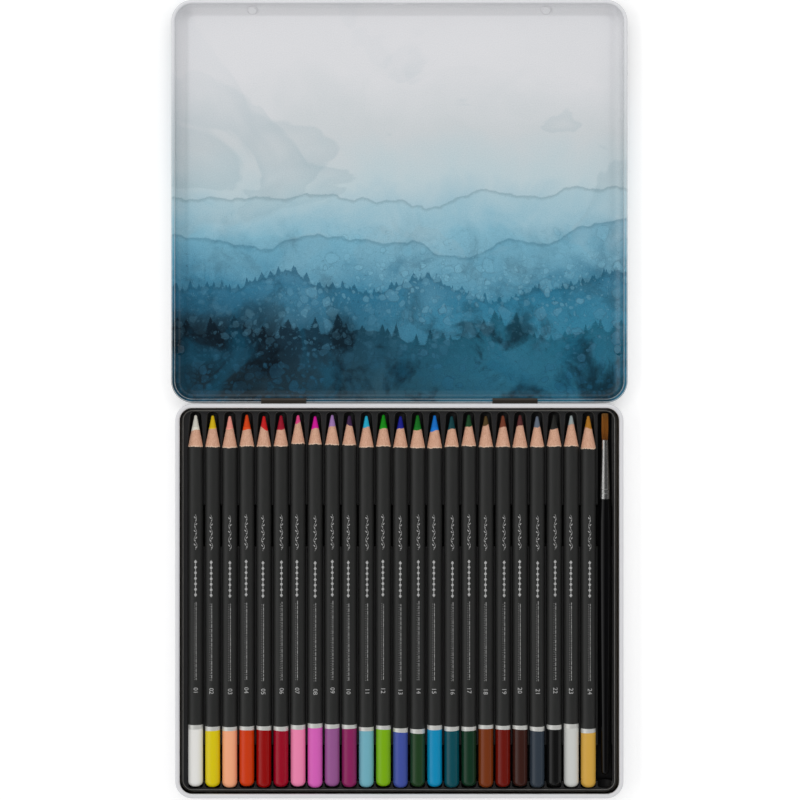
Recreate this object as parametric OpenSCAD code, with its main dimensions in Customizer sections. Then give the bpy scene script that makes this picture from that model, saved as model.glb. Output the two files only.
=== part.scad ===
// Colored pencil tin, lying open: a hinged sheet metal tin with a moulded
// tray, a row of round colored pencils and one paint brush.
// +Z is up, +X points right and +Y points from the front edge to the hinge.
// The origin is the middle of the base's underside. Sizes are millimetres.

/* [Pencils] */
// Diameter of a pencil's barrel
pencil_d = 7.05; // [6.5:0.05:8]
// Length from the point to the dipped end
pencil_len = 175; // [165:1:180]
// Length of the sharpened cone
cone_len = 14.8; // [12:0.1:18]
// Diameter of the colored lead
lead_d = 3.3; // [2.5:0.1:4]
// Diameter of the rounded point
point_d = 1.3; // [0.8:0.1:1.6]
// Rounding of the dipped end
dip_r = 2.6; // [1.5:0.1:3]
// Wood left behind the inner end of the lead
lead_stop = 4; // [3:0.5:10]
// Glue line between a lead and its wood
lead_gap = 0.03; // [0.02:0.01:0.06]
// How far the pencils stray from an even row, along their length
row_scatter = 0.35; // [0:0.05:0.5]

/* [Brush] */
// Greatest diameter of the handle
handle_d = 6.2; // [5.5:0.1:7]
// Diameter of the handle near its tail
handle_tail_d = 3.6; // [3:0.1:4.4]
// Length of the handle outside the ferrule
handle_len = 130; // [110:1:132]
// Length of the part of the handle inside the ferrule
tenon_len = 9; // [6:0.5:12]
// Length of the ferrule
ferrule_len = 27.7; // [22:0.1:29]
// Diameter of the ferrule at the handle
ferrule_back_d = 4.9; // [4.5:0.1:5.4]
// Diameter of the ferrule at the hair
ferrule_front_d = 3.1; // [2.6:0.1:3.6]
// Thickness of the ferrule
ferrule_wall = 0.22; // [0.2:0.01:0.35]
// Depth of each crimped groove round the ferrule
crimp_depth = 0.12; // [0.05:0.01:0.15]
// Length of the hair outside the ferrule
hair_len = 12.7; // [9:0.1:13]
// Diameter of the hair at its widest
hair_d = 3.3; // [2.8:0.1:3.8]
// Number of hairs
hair_count = 300; // [300:1:320]
// Length of the glued plug that holds the hair in the ferrule
plug_len = 6; // [4:0.5:8]
// Glue line inside the ferrule
ferrule_gap = 0.04; // [0.03:0.01:0.08]

/* [Tray] */
// Thickness of the tray's sheet
tray_sheet = 0.45; // [0.35:0.05:0.6]
// Clearance round a pencil in its groove
groove_gap = 0.25; // [0.2:0.05:0.4]
// Clearance round the thickest part of the brush in its groove
brush_gap = 0.5; // [0.3:0.05:0.8]
// Width of the ridge between two grooves
ridge_w = 0.5; // [0.4:0.05:1]
// Width of a groove at the pencils' points
tip_pocket_w = 5.9; // [4:0.1:6.5]
// Rounding of a groove's end at the point
tip_round = 1.9; // [1:0.1:2]
// Rounding of a groove's end at the dipped end
tail_round = 1.2; // [0.8:0.1:2]
// Space in front of a pencil's point
tip_space = 1.8; // [1:0.1:3]
// Space behind a pencil's dipped end
tail_space = 0.8; // [0.7:0.1:2]
// Space in front of the brush's hair
brush_space = 0.7; // [0.5:0.1:3]
// Flat edge beyond the points
tip_flange = 1.5; // [1.5:0.1:3]
// Flat edge beyond the dipped ends
tail_flange = 1.7; // [1.5:0.1:3]
// Flat edge left of the first pencil
left_flange = 3.2; // [1.6:0.1:4]
// Flat edge right of the brush
right_flange = 2; // [1.6:0.1:4]
// How far the finger channels lie below the grooves
channel_drop = 1.6; // [0.8:0.1:2]
// From the points to the middle of the upper finger channel
upper_channel_y = 52; // [40:1:70]
// Width of the upper finger channel's floor
upper_channel_w = 18.3; // [12:0.1:22]
// From the dipped ends to the middle of the lower finger channel
lower_channel_y = 11; // [10:0.5:30]
// Width of the lower finger channel's floor
lower_channel_w = 15.8; // [10:0.1:17]
// Slope of the channels' walls, away from upright
channel_draft = 10; // [5:1:20]
// Rounding of the tray's outer edge
tray_edge_r = 0.8; // [0.6:0.05:1]
// Gap between the tray and the base's floor
tray_seat = 0.1; // [0.05:0.05:0.3]
// Play between the tray and the rim, left of it
play_left = 0.15; // [0.1:0.05:0.6]
// Play between the tray and the rim, right of it
play_right = 0.65; // [0.1:0.05:1]
// Play between the tray and the rim, in front and behind
play_ends = 0.2; // [0.1:0.05:0.6]

/* [Tin] */
// Thickness of the tin's sheet metal
sheet = 0.3; // [0.25:0.05:0.35]
// Outer height of the closed tin
tin_h = 15.2; // [14.5:0.1:20]
// Outer radius of the base's corners, seen from above
corner_r = 8; // [6:0.5:14]
// Outer rounding of the base's bottom edge
base_edge_r = 1.5; // [1:0.1:1.8]
// Outer diameter of the base's rim, rolled inward
rim_d = 2.1; // [1.6:0.1:2.4]
// Outer rounding of the lid's edge
lid_edge_r = 5; // [4:0.1:6]
// Outer diameter of the lid's edge, rolled outward
lid_roll_d = 1.8; // [1.4:0.1:2]
// Clearance between the lid's walls and the base's walls
lid_gap = 0.4; // [0.35:0.05:0.8]
// Clearance between the base's rim and the lid's rounded edge
rim_gap = 0.4; // [0.35:0.05:0.5]

/* [Hinge] */
// Width of each knuckle
knuckle_w = 21.2; // [12:0.1:26]
// From the middle of the tin to the middle of a knuckle
knuckle_x = 54.4; // [30:0.1:70]
// Running gap between a knuckle and the lid's rolled edge
knuckle_gap = 0.15; // [0.1:0.01:0.25]
// Gap at each side of a knuckle in its window
window_gap = 0.7; // [0.4:0.1:1.5]
// How far a knuckle wraps below the lid's rolled edge, in degrees
knuckle_wrap = 135; // [90:5:140]

/* [Dimples and notch] */
// From the middle of the lid to a dimple in its front edge
front_dimple_x = 69.6; // [40:0.1:90]
// Diameter of the dimples in the front edge
front_dimple_d = 6; // [4:0.1:6.5]
// From the hinge to a dimple in a side edge
side_dimple_y = 24.4; // [18:0.1:60]
// Diameter of the dimples in the side edges
side_dimple_d = 6.3; // [4:0.1:6.5]
// How far the dimples stand out inside the lid
dimple_depth = 1.1; // [0.7:0.05:1.2]
// Angle between the walls and the axis of a dimple
dimple_turn = 40; // [35:1:50]
// Width of the thumb notch in the front edge
notch_w = 8.5; // [6:0.1:14]
// Depth of the thumb notch
notch_depth = 0.28; // [0.15:0.01:0.3]

/* [Hidden] */
$fn = 64;

// Names of the pencils from left to right, each with its color
COLORS = [
    ["white", "#e1ded2"], ["yellow", "#e1be0a"], ["peach", "#f5a091"],
    ["orange", "#e14b14"], ["red", "#d72828"], ["crimson", "#a51932"],
    ["pink", "#eb508c"], ["magenta", "#e11ea5"], ["lilac", "#aa82be"],
    ["plum", "#4b3255"], ["sky_blue", "#2db4d7"], ["light_green", "#0a9614"],
    ["violet_blue", "#232896"], ["dark_green", "#0f7828"],
    ["cyan_blue", "#1478d2"], ["teal", "#194b50"], ["forest_green", "#285032"],
    ["brown", "#5f4b2d"], ["russet", "#824632"], ["umber", "#643737"],
    ["slate", "#6e7887"], ["black", "#323230"], ["silver", "#a5afaf"],
    ["gold", "#b97d2d"]
];
pencil_count = len(COLORS);
function barrel_name(i) = str("pencil_", COLORS[i][0], "_barrel");
function lead_name(i) = str("pencil_", COLORS[i][0], "_lead");
BARRELS = [for (i = [0 : pencil_count - 1]) barrel_name(i)];
LEADS = [for (i = [0 : pencil_count - 1]) lead_name(i)];
TIN = ["base_pan", "lid", "tray", "brush_handle", "brush_ferrule", "brush_hair"];

// Radii and the cone's slope
pencil_r = pencil_d / 2;
groove_r = pencil_r + groove_gap;
brush_groove_r = handle_d / 2 + brush_gap;
pitch = 2 * groove_r + ridge_w;
point_r = point_d / 2;
cone_slope = (pencil_r - point_r) / (cone_len - point_r);
lead_r = lead_d / 2;
bore_r = lead_r + lead_gap;
rim_r = rim_d / 2;
lid_roll_r = lid_roll_d / 2;

// Heights: the tray stands on its channels, and every groove has one axis height
tray_z = sheet + tray_seat;
channel_z = tray_z + tray_sheet;
groove_z = channel_z + channel_drop;
axis_z = groove_z + groove_r;
flange_z = axis_z;

// The tray's outline is built up from what lies in it
row_w = pencil_count * pitch;
brush_cell_w = 2 * brush_groove_r + ridge_w;
tray_w = left_flange + row_w + brush_cell_w - ridge_w + right_flange;
tray_d = tip_flange + tip_space + pencil_len + tail_space + tail_flange;

// The base goes round the tray, and the lid round the base
base_w = tray_w + play_left + play_right + 2 * rim_d;
base_d = tray_d + 2 * (play_ends + rim_d);
lid_w = base_w + 2 * (lid_gap + lid_roll_d);
lid_d = base_d + 2 * (lid_gap + lid_roll_d);
lid_corner_r = corner_r + lid_gap + lid_roll_d;
tray_corner_r = corner_r - rim_d - play_ends;

// Places along X
tray_left = rim_d + play_left - base_w / 2;
tray_right = tray_left + tray_w;
first_x = tray_left + left_flange + groove_r;
function pencil_x(i) = first_x + i * pitch;
function cell_edge(i) = first_x + (i - 0.5) * pitch;
row_end = cell_edge(pencil_count);
brush_x = row_end + brush_cell_w / 2;

// Places along Y
tray_back = base_d / 2 - rim_d - play_ends;
tray_front = tray_back - tray_d;
pocket_back = tray_back - tip_flange;
pocket_front = tray_front + tail_flange;
tip_y = pocket_back - tip_space;
tail_y = tip_y - pencil_len;
shoulder_y = tip_y - cone_len;
upper_channel = tip_y - upper_channel_y;
lower_channel = tail_y + lower_channel_y;
function stray(i) = row_scatter * sin(i * 137.5 + 40);

// The brush, measured back from the end of its hair
hair_tip_y = pocket_back - brush_space;
ferrule_front_y = hair_tip_y - hair_len;
ferrule_back_y = ferrule_front_y - ferrule_len;
handle_tail_y = ferrule_back_y - handle_len;

// The hinge axis runs along the middle of the lid's rolled back edge
hinge_z = tin_h / 2;
hinge_y = base_d / 2 + lid_gap + lid_roll_r;
knuckle_r = lid_roll_r + knuckle_gap;
window_r = norm([lid_roll_r + lid_gap + sheet, knuckle_r + sheet]) + 0.5;

// The base's rim stands as high as the lid's rounded edge lets it
edge_inner_r = lid_edge_r - sheet;
rim_reach = edge_inner_r - rim_gap - rim_r;
rim_inset = edge_inner_r - lid_gap - rim_r;
rim_rise = sqrt(max(0, pow(rim_reach, 2) - pow(rim_inset, 2)));
base_h = tin_h - lid_edge_r + rim_rise + rim_r;

// Overlap that joins two shapes of one sheet
weld = 1;

// Shared shapes

// A rectangle with true round corners, in the middle of the plane
module rounded_rect(w, d, r) {
    square([w - 2 * r, d], center = true);
    square([w, d - 2 * r], center = true);
    for (x = [-1, 1], y = [-1, 1])
        translate([x * (w / 2 - r), y * (d / 2 - r)]) circle(r);
}

// A quarter of a bent sheet: outer radius r, bulging towards -X and -Y
module bend(r, t) {
    intersection() {
        difference() {
            circle(r);
            circle(r - t);
        }
        translate([-r, -r]) square(r);
    }
}

// Carries a section round a rounded rectangle. The section's X runs inward
// from the outer face and its Y runs up.
module around(w, d, r) {
    for (turn = [0 : 3]) {
        across = turn % 2 == 0 ? w : d;
        along = (turn % 2 == 0 ? d : w) - 2 * r;
        rotate(90 * turn) {
            translate([across / 2, along / 2, 0])
                rotate([90, 0, 0]) linear_extrude(along) mirror([1, 0]) children();
            translate([across / 2 - r, along / 2, 0])
                rotate_extrude(angle = 90) translate([r, 0]) mirror([1, 0]) children();
        }
    }
}

// The flat sheet inside a carried section, as far as the corners' middles
module middle_sheet(w, d, r, z) {
    translate([0, 0, z + sheet / 2])
        cube([w - 2 * (r - weld), d - 2 * (r - weld), sheet], center = true);
}

// Turns a shape made round Z so that its Z runs along +Y
module along_y() {
    rotate([-90, 0, 0]) children();
}

// Extrudes a section of the YZ plane along X, both ways
module along_x(w) {
    rotate([90, 0, 90]) linear_extrude(w, center = true) children();
}

// Base pan

// Floor, bottom edge, wall and the rim rolled inward
module base_section() {
    translate([base_edge_r, 0]) square([corner_r - weld / 2 - base_edge_r, sheet]);
    translate([base_edge_r, base_edge_r]) bend(base_edge_r, sheet);
    translate([0, base_edge_r]) square([sheet, base_h - rim_r - base_edge_r]);
    translate([rim_r, base_h - rim_r]) difference() {
        circle(rim_r);
        circle(rim_r - sheet);
        polygon([[0, 0], [-rim_d, 0], [-rim_d, -rim_d], [rim_d * tan(30), -rim_d]]);
    }
}

// Section of a knuckle: a strip that leaves the wall over the lid's rolled
// edge and wraps round it. The origin is the hinge axis.
module knuckle_section() {
    reach = lid_roll_r + lid_gap + sheet;
    far = 4 * knuckle_r;
    translate([-reach, knuckle_r]) square([reach, sheet]);
    difference() {
        circle(knuckle_r + sheet);
        circle(knuckle_r);
        polygon([[0, 0], [0, far], [-far, far], [-far, 0],
            [far * cos(knuckle_wrap), -far * sin(knuckle_wrap)]]);
    }
}

// The flat length of a knuckle's strip is the height of the opening it leaves
knuckle_len = lid_roll_r + lid_gap + (90 + knuckle_wrap) * PI / 180 * (knuckle_r + sheet / 2);

module knuckle_opening() {
    z = hinge_z + knuckle_r;
    bottom = max(z - knuckle_len, base_edge_r + sheet);
    translate([-knuckle_w / 2, base_d / 2 - sheet - weld, bottom])
        cube([knuckle_w, sheet + 2 * weld, z - bottom]);
}

module base_pan() {
    color("#dededc") {
        difference() {
            union() {
                around(base_w, base_d, corner_r) base_section();
                middle_sheet(base_w, base_d, corner_r, 0);
            }
            for (side = [-1, 1]) translate([side * knuckle_x, 0, 0]) knuckle_opening();
        }
        for (side = [-1, 1])
            translate([side * knuckle_x, hinge_y, hinge_z])
                along_x(knuckle_w) knuckle_section();
    }
}

// Lid, drawn closed and then turned open about the hinge axis

// Rolled edge, wall, rounded edge and panel
module lid_section() {
    wall_x = lid_roll_d - sheet;
    bend_x = wall_x + lid_edge_r;
    translate([lid_roll_r, hinge_z]) difference() {
        circle(lid_roll_r);
        circle(lid_roll_r - sheet);
        polygon([[0, 0], [lid_roll_d, 0], [lid_roll_d, lid_roll_d],
            [lid_roll_d / tan(70), lid_roll_d]]);
    }
    translate([wall_x, hinge_z]) square([sheet, tin_h - lid_edge_r - hinge_z]);
    translate([bend_x, tin_h - lid_edge_r]) mirror([0, 1]) bend(lid_edge_r, sheet);
    translate([bend_x, tin_h - sheet]) square([lid_corner_r - weld / 2 - bend_x, sheet]);
}

// Clears the back wall over a knuckle, but leaves the rolled edge
module lid_window() {
    difference() {
        translate([0, -weld / 2 - lid_roll_r / 2, window_r / 2])
            cube([knuckle_w + 2 * window_gap, lid_roll_r + weld, window_r], center = true);
        along_x(knuckle_w + 4 * window_gap) circle(lid_roll_r);
    }
}

// A cone that comes in through the lid's rounded edge. The origin is the
// middle of the edge's arc, +X is inward and the cone ends at a distance.
module dimple_cone(width, distance) {
    rotate([0, -dimple_turn, 0]) translate([0, 0, distance])
        cylinder(h = dimple_depth + sheet, r1 = 0.3 * width, r2 = width / 2);
}

// A round boss inside the rounded edge
module dimple_bump(width) {
    intersection() {
        dimple_cone(width, edge_inner_r - dimple_depth);
        rotate([90, 0, 0])
            cylinder(h = 2 * width, r = lid_edge_r - sheet / 2, center = true);
    }
}

// The dent behind the boss, moved out so that the boss's flanks keep the sheet
module dimple_dent(width) {
    dimple_cone(width, edge_inner_r - dimple_depth + 1.4 * sheet);
}

// Puts a dimple's shape on the front and side edges of the closed lid
module at_dimples() {
    arc_x = lid_w / 2 - lid_roll_d + sheet - lid_edge_r;
    arc_y = lid_d / 2 - lid_roll_d + sheet - lid_edge_r;
    translate([0, 0, tin_h - lid_edge_r]) for (side = [-1, 1]) {
        translate([side * front_dimple_x, -arc_y, 0]) rotate(90) children(0);
        translate([side * arc_x, hinge_y - side_dimple_y, 0])
            rotate(side > 0 ? 180 : 0) children(1);
    }
}

// A drum that dents the front edge. Y = 0 is the dented face, +Y is inward.
module notch_drum(extra) {
    r = (pow(notch_w / 2, 2) + pow(notch_depth, 2)) / (2 * notch_depth);
    translate([0, notch_depth - r, hinge_z - lid_roll_d]) cylinder(h = tin_h, r = r + extra);
}

module notch_bump() {
    wall_y = lid_roll_d - lid_d / 2 - sheet;
    top = tin_h - lid_edge_r;
    intersection() {
        translate([0, wall_y, 0]) notch_drum(sheet);
        translate([-notch_w, wall_y + sheet / 2, hinge_z])
            cube([2 * notch_w, 2 * sheet + notch_depth, top - hinge_z]);
    }
}

module notch_dent() {
    wall_y = lid_roll_d - lid_d / 2 - sheet;
    top = tin_h - lid_edge_r;
    intersection() {
        translate([0, wall_y, 0]) notch_drum(0);
        translate([-notch_w, wall_y - 0.01, hinge_z + lid_roll_r])
            cube([2 * notch_w, sheet + notch_depth, top - hinge_z - lid_roll_r]);
    }
}

module closed_lid() {
    difference() {
        union() {
            around(lid_w, lid_d, lid_corner_r) lid_section();
            middle_sheet(lid_w, lid_d, lid_corner_r, tin_h - sheet);
            at_dimples() {
                dimple_bump(front_dimple_d);
                dimple_bump(side_dimple_d);
            }
            notch_bump();
        }
        at_dimples() {
            dimple_dent(front_dimple_d);
            dimple_dent(side_dimple_d);
        }
        notch_dent();
        for (side = [-1, 1])
            translate([side * knuckle_x, hinge_y, hinge_z]) lid_window();
    }
}

module lid() {
    color("#8fa9b8")
        translate([0, hinge_y, hinge_z]) rotate([180, 0, 0])
            translate([0, -hinge_y, -hinge_z]) closed_lid();
}

// Tray, a thin moulded sheet

// Points of an arc round c, from angle a0 to a1
arc_steps = 3;
function arc(c, r, a0, a1) = [for (k = [0 : arc_steps])
    let (a = a0 + (a1 - a0) * k / arc_steps) c + r * [cos(a), sin(a)]];

// Half outline of a groove with round ends, grown by extra. X is the radius
// and Y runs from the dipped end to the point, where the groove narrows.
function groove_outline(r, tip_r, extra) =
    let (front = pocket_front - extra, back = pocket_back + extra,
        tail_c = tail_round + extra, tip_c = tip_round + extra)
    concat([[0, front]],
        arc([r + extra - tail_c, front + tail_c], tail_c, -90, 0),
        [[r + extra, shoulder_y]],
        arc([tip_r + extra - tip_c, back - tip_c], tip_c, 0, 90),
        [[0, back]]);

module pencil_groove(extra) {
    along_y() rotate_extrude()
        polygon(groove_outline(groove_r, tip_pocket_w / 2, extra));
}

module brush_groove(extra) {
    along_y() rotate_extrude()
        polygon(groove_outline(brush_groove_r, brush_groove_r, extra));
}

// Section of a finger channel, open at the top and grown by extra
module channel_section(floor_w, extra) {
    top_z = flange_z + weld;
    half = floor_w / 2 + extra;
    rise = tan(channel_draft);
    polygon([[-half, channel_z - extra], [half, channel_z - extra],
        [half + rise * (top_z - channel_z), top_z],
        [-half - rise * (top_z - channel_z), top_z]]);
}

module channels(x0, x1, extra) {
    middle = (x0 + x1) / 2;
    translate([middle, upper_channel, 0])
        along_x(x1 - x0) channel_section(upper_channel_w, extra);
    translate([middle, lower_channel, 0])
        along_x(x1 - x0) channel_section(lower_channel_w, extra);
}

// One strip of the tray, with its groove hanging below the flat sheet.
// children(0) is the groove grown by the sheet, children(1) the groove.
module tray_strip(x0, x1) {
    w = x1 - x0 + 2 * strip_lap;
    d = pocket_back - pocket_front + 2 * (tray_sheet + strip_lap);
    difference() {
        intersection() {
            translate([x0 - strip_lap, pocket_front - tray_sheet - strip_lap, tray_z])
                cube([w, d, flange_z - tray_z]);
            union() {
                translate([x0 - weld, pocket_front - 2 * weld, flange_z - tray_sheet])
                    cube([w + 2 * weld, d + 4 * weld, tray_sheet + weld]);
                children(0);
                channels(strips_x0, strips_x1, tray_sheet);
            }
        }
        children(1);
        channels(channel_x0, channel_x1, 0);
    }
}

// The channels end level with the outermost grooves
channel_x0 = first_x - groove_r;
channel_x1 = brush_x + brush_groove_r;
strips_x0 = channel_x0 - tray_sheet;
strips_x1 = channel_x1 + tray_sheet;

// How far the strips lap over each other, within the ridges
strip_lap = ridge_w / 5;

// Skirt, rounded outer edge and flat edge
module tray_section() {
    translate([0, tray_z]) square([tray_sheet, flange_z - tray_edge_r - tray_z]);
    translate([tray_edge_r, flange_z - tray_edge_r])
        mirror([0, 1]) bend(tray_edge_r, tray_sheet);
    translate([tray_edge_r, flange_z - tray_sheet]) square([weld / 2, tray_sheet]);
}

// The flat edge all round, with the strips' place left open
module tray_border() {
    middle_x = (tray_left + tray_right) / 2;
    middle_y = (tray_front + tray_back) / 2;
    inset = 2 * tray_edge_r;
    translate([middle_x, middle_y, 0]) {
        around(tray_w, tray_d, tray_corner_r) tray_section();
        translate([0, 0, flange_z - tray_sheet]) linear_extrude(tray_sheet) difference() {
            rounded_rect(tray_w - inset, tray_d - inset, tray_corner_r - tray_edge_r);
            translate([strips_x0 - middle_x, pocket_front - tray_sheet - middle_y])
                square([strips_x1 - strips_x0, pocket_back - pocket_front + 2 * tray_sheet]);
        }
    }
}

module tray() {
    color("#2b2c2c") {
        tray_border();
        for (i = [0 : pencil_count - 1]) {
            tray_strip(i == 0 ? strips_x0 : cell_edge(i), cell_edge(i + 1)) {
                translate([pencil_x(i), 0, axis_z]) pencil_groove(tray_sheet);
                translate([pencil_x(i), 0, axis_z]) pencil_groove(0);
            }
        }
        tray_strip(row_end, strips_x1) {
            translate([brush_x, 0, axis_z]) brush_groove(tray_sheet);
            translate([brush_x, 0, axis_z]) brush_groove(0);
        }
    }
}

// Pencils

// Wooden barrel with its bore, sharpened cone and dipped round end
module barrel() {
    bore_y = tip_y - point_r - (bore_r - point_r) / cone_slope;
    along_y() rotate_extrude() difference() {
        union() {
            polygon([[0, tail_y + dip_r], [pencil_r, tail_y + dip_r],
                [pencil_r, shoulder_y], [bore_r, bore_y], [0, bore_y]]);
            translate([0, tail_y]) square([pencil_r - dip_r, dip_r]);
            translate([pencil_r - dip_r, tail_y + dip_r]) mirror([1, 0]) bend(dip_r, dip_r);
        }
        translate([0, tail_y + lead_stop]) square([bore_r, pencil_len]);
    }
}

// Lead with its conical point, rounded at the end
module lead() {
    cone_y = tip_y - point_r - (lead_r - point_r) / cone_slope;
    along_y() rotate_extrude() {
        polygon([[0, tail_y + lead_stop], [lead_r, tail_y + lead_stop],
            [lead_r, cone_y], [point_r, tip_y - point_r], [0, tip_y - point_r]]);
        intersection() {
            translate([0, tip_y - point_r]) circle(point_r);
            translate([0, tip_y - point_r]) square(point_d);
        }
    }
}

module pencil_barrel(i) {
    color("#363636") translate([pencil_x(i), stray(i), axis_z]) barrel();
}

module pencil_lead(i) {
    color(COLORS[i][1]) translate([pencil_x(i), stray(i), axis_z]) lead();
}

// Brush

// Inner radius of the ferrule at a distance from its back end
function ferrule_bore(s) =
    (ferrule_back_d + (ferrule_front_d - ferrule_back_d) * s / ferrule_len) / 2 - ferrule_wall;

// Handle: a swelling behind the ferrule, then a long taper to the tail
handle_steps = 12;
function handle_r(s) =
    let (swell = min(1, s / 0.12), taper = max(0, (s - 0.12) / 0.88))
    ferrule_back_d / 2 + (handle_d - ferrule_back_d) / 2 * sin(90 * swell)
    - (handle_d - handle_tail_d) / 2 * (1 - cos(90 * taper));

module brush_handle() {
    tail_r = handle_tail_d / 2;
    body = [for (k = [handle_steps : -1 : 0]) let (s = k / handle_steps)
        [handle_r(s), ferrule_back_y - s * (handle_len - tail_r)]];
    tenon = [
        [ferrule_bore(0) - ferrule_gap, ferrule_back_y],
        [ferrule_bore(tenon_len) - ferrule_gap, ferrule_back_y + tenon_len],
        [0, ferrule_back_y + tenon_len]
    ];
    color("#1c1c1d") translate([brush_x, 0, axis_z]) along_y() rotate_extrude() {
        polygon(concat([[0, handle_tail_y + tail_r]], body, tenon));
        intersection() {
            translate([0, handle_tail_y + tail_r]) circle(tail_r);
            translate([0, handle_tail_y]) square(2 * tail_r);
        }
    }
}

// Ferrule: a tapered tube with two crimped grooves over the handle's tenon
crimp_w = 0.8;
crimp_y = [2.6, 4.6];

module brush_ferrule() {
    back_r = ferrule_back_d / 2;
    front_r = ferrule_front_d / 2;
    color("#c4c6c8") translate([brush_x, 0, axis_z]) along_y() rotate_extrude() difference() {
        polygon([[back_r - ferrule_wall, ferrule_back_y], [back_r, ferrule_back_y],
            [front_r, ferrule_front_y], [front_r - ferrule_wall, ferrule_front_y]]);
        for (y = crimp_y) {
            r = ferrule_bore(y) + ferrule_wall;
            translate([r, ferrule_back_y + y])
                polygon([[-crimp_depth, 0], [crimp_depth, -crimp_w / 2], [crimp_depth, crimp_w / 2]]);
        }
    }
}

// Hair: rings of each strand, root to tip, as [distance from the plug's back, spread]
hair_root_r = ferrule_bore(ferrule_len) - ferrule_gap - 0.08;
hair_tip_r = 0.95 * hair_d / 2;
hair_thick = 0.055;
hair_stations = [
    [plug_len - 0.5, hair_root_r],
    [plug_len + 0.45 * hair_len, hair_d / 2 - hair_thick],
    [plug_len + hair_len, hair_tip_r]
];
hair_sides = 3;

// Where strand k stands in a section of radius r: a spiral that fills the disc
function strand_place(k, r) =
    let (turn = k * 137.508, far = r * sqrt((k + 0.5) / hair_count))
    [far * cos(turn), far * sin(turn)];

// How much shorter strand k is than the longest, for a soft blunt end
function strand_short(k) = 0.9 * pow((k + 0.5) / hair_count, 2) + 0.35 * (k * 7 % 11) / 11;

function strand_points(k) = [
    for (j = [0 : len(hair_stations) - 1])
        for (m = [0 : hair_sides - 1])
            let (last = j == len(hair_stations) - 1,
                p = strand_place(k, hair_stations[j][1]),
                r = last ? 0.6 * hair_thick : hair_thick)
            [p[0] + r * cos(120 * m), p[1] + r * sin(120 * m),
                hair_stations[j][0] - (last ? strand_short(k) : 0)]
];

// Faces of one strand, whose first point has the number n
function strand_faces(n) = concat(
    [[n, n + 1, n + 2]],
    [for (j = [0 : len(hair_stations) - 2]) for (m = [0 : hair_sides - 1])
        let (a = n + j * hair_sides + m, b = n + j * hair_sides + (m + 1) % hair_sides)
        each [[a, a + hair_sides, b], [b, a + hair_sides, b + hair_sides]]],
    [[n + 3 * len(hair_stations) - 1, n + 3 * len(hair_stations) - 2,
        n + 3 * len(hair_stations) - 3]]
);

module brush_hair() {
    per_strand = hair_sides * len(hair_stations);
    points = [for (k = [0 : hair_count - 1]) each strand_points(k)];
    faces = [for (k = [0 : hair_count - 1]) each strand_faces(k * per_strand)];
    plug_back_r = ferrule_bore(ferrule_len - plug_len) - ferrule_gap;
    plug_front_r = ferrule_bore(ferrule_len) - ferrule_gap;
    color("#8a5a33") translate([brush_x, ferrule_front_y - plug_len, axis_z]) along_y() {
        cylinder(h = plug_len, r1 = plug_back_r, r2 = plug_front_r, $fn = 24);
        polyhedron(points, faces);
    }
}

base_pan();
lid();
tray();
brush_handle();
brush_ferrule();
brush_hair();
for (i = [0 : pencil_count - 1]) {
    pencil_barrel(i);
    pencil_lead(i);
}
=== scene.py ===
"""Dresses the open colored pencil tin: camera, light, finishes and fine pieces.

Lengths are millimetres in the object's own frame, unless a docstring says
otherwise. Meshes are turned to metres when they are made.
"""

import logging
import math
from dataclasses import dataclass, field
from enum import Enum
from typing import Any, Callable, Sequence, Union

import bmesh
import bpy
import numpy as np
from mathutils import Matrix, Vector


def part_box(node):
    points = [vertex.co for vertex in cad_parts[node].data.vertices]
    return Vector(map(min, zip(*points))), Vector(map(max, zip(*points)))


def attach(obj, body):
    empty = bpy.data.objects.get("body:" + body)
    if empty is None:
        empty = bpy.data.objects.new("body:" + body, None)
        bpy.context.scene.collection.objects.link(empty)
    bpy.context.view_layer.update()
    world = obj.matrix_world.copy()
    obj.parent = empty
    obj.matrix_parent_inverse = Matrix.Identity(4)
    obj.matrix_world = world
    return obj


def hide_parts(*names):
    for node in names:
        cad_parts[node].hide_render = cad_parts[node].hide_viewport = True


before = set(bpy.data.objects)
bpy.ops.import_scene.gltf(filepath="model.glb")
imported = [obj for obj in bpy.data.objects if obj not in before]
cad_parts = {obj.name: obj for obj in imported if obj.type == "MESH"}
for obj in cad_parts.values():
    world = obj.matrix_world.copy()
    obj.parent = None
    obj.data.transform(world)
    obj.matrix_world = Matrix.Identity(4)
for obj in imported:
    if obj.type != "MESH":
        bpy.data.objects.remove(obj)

LOG = logging.getLogger("pencil_tin")
Material = bpy.types.Material
Object = bpy.types.Object
MM = 0.001  # metres in a millimetre
DM = 0.01  # decimetres in a millimetre
GLOSS = 0.012  # light that a lacquer's own shine lays over its color
GOLDEN_ANGLE = math.radians(137.508)
BLACK = (0.0, 0.0, 0.0, 1.0)
WHITE = (1.0, 1.0, 1.0, 1.0)
Pair = tuple[float, float]
Rgb = Point = tuple[float, float, float]
Number = Union["Wire", float]


def linear(color: Rgb, veil: float = 0.0) -> tuple[float, float, float, float]:
    """Turns a color of 0 to 255 a channel, as seen on a screen, to linear light.

    Args:
        color: Red, green and blue as a screen shows them.
        veil: Light taken off each channel, because a gloss lays as much over it.

    Returns:
        The linear color with an alpha of 1.
    """
    part = [c / 255 for c in color]
    light = [c / 12.92 if c <= 0.04045 else ((c + 0.055) / 1.055) ** 2.4 for c in part]
    red, green, blue = (max(0.0, c - veil) for c in light)
    return (red, green, blue, 1.0)


# Shader expressions


def operator(operation: str, turned: bool = False) -> Callable[["Wire", Number], "Wire"]:
    """Makes the method for an operator between two values.

    Args:
        operation: What the Math node does.
        turned: Whether the wire comes second.

    Returns:
        A method that adds the node.
    """
    def add(wire: "Wire", other: Number) -> "Wire":
        """Adds the Math node."""
        return wire.math(operation, *((other, wire) if turned else (wire, other)))
    return add


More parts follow.
